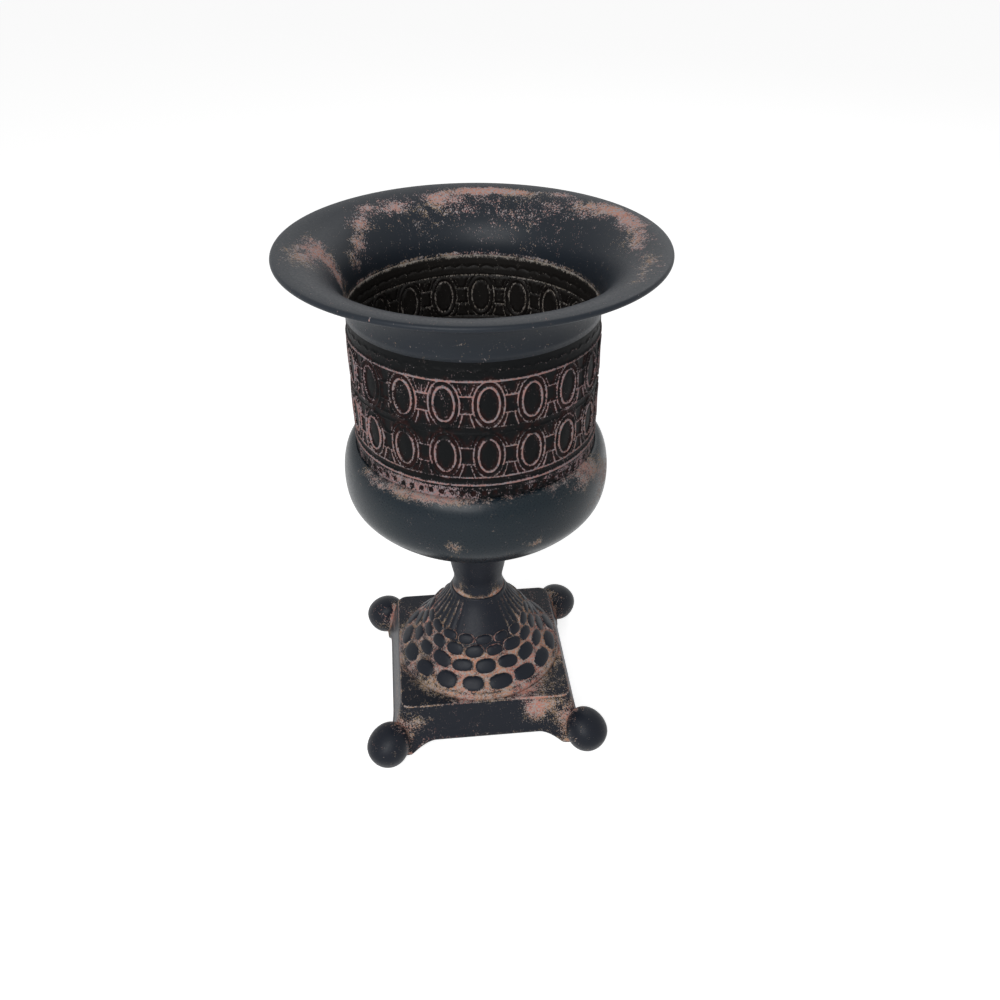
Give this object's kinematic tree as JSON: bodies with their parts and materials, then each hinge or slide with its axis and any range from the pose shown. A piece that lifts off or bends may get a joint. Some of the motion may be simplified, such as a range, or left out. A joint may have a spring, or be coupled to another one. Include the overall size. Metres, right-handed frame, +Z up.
{
  "type": "urn planter",
  "caption": "Goblet-shaped metal urn planter: flared rolled mouth, embossed band, round bowl, waisted stem, pebbled dome and square plinth on knob feet.",
  "frame": {"origin": "on the floor, under the middle of the urn", "axes": "+Z up; the plinth's sides lie along X and Y; the picture looks from the front, -Y, six degrees round to the left and from above"},
  "size_m": [0.3, 0.3, 0.4576],
  "materials": {
    "painted_sheet": "spun and pressed steel sheet in satin blue-black paint, sponged with a dusty copper patina",
    "painted_casting": "cast metal in satin blue-black paint, copper patina rubbed into the hollows",
    "zinc_steel": "zinc-plated steel",
    "rubber": "black rubber"
  },
  "bodies": {
    "root": {"rim_flare": "painted_sheet", "rim_wire": "zinc_steel", "pattern_band": "painted_sheet", "bowl": "painted_sheet", "bowl_shoulder": "painted_sheet", "stem": "painted_casting", "dome": "painted_casting", "plinth": "painted_casting", "foot_front_left": "painted_casting", "foot_front_right": "painted_casting", "foot_back_left": "painted_casting", "foot_back_right": "painted_casting", "seal_washer": "rubber", "bowl_washer": "zinc_steel", "tie_bolt": "zinc_steel", "base_washer": "zinc_steel", "spring_washer": "zinc_steel", "tie_nut": "zinc_steel", "foot_screws": "zinc_steel", "foot_washers": "zinc_steel"}
  },
  "joints": []
}
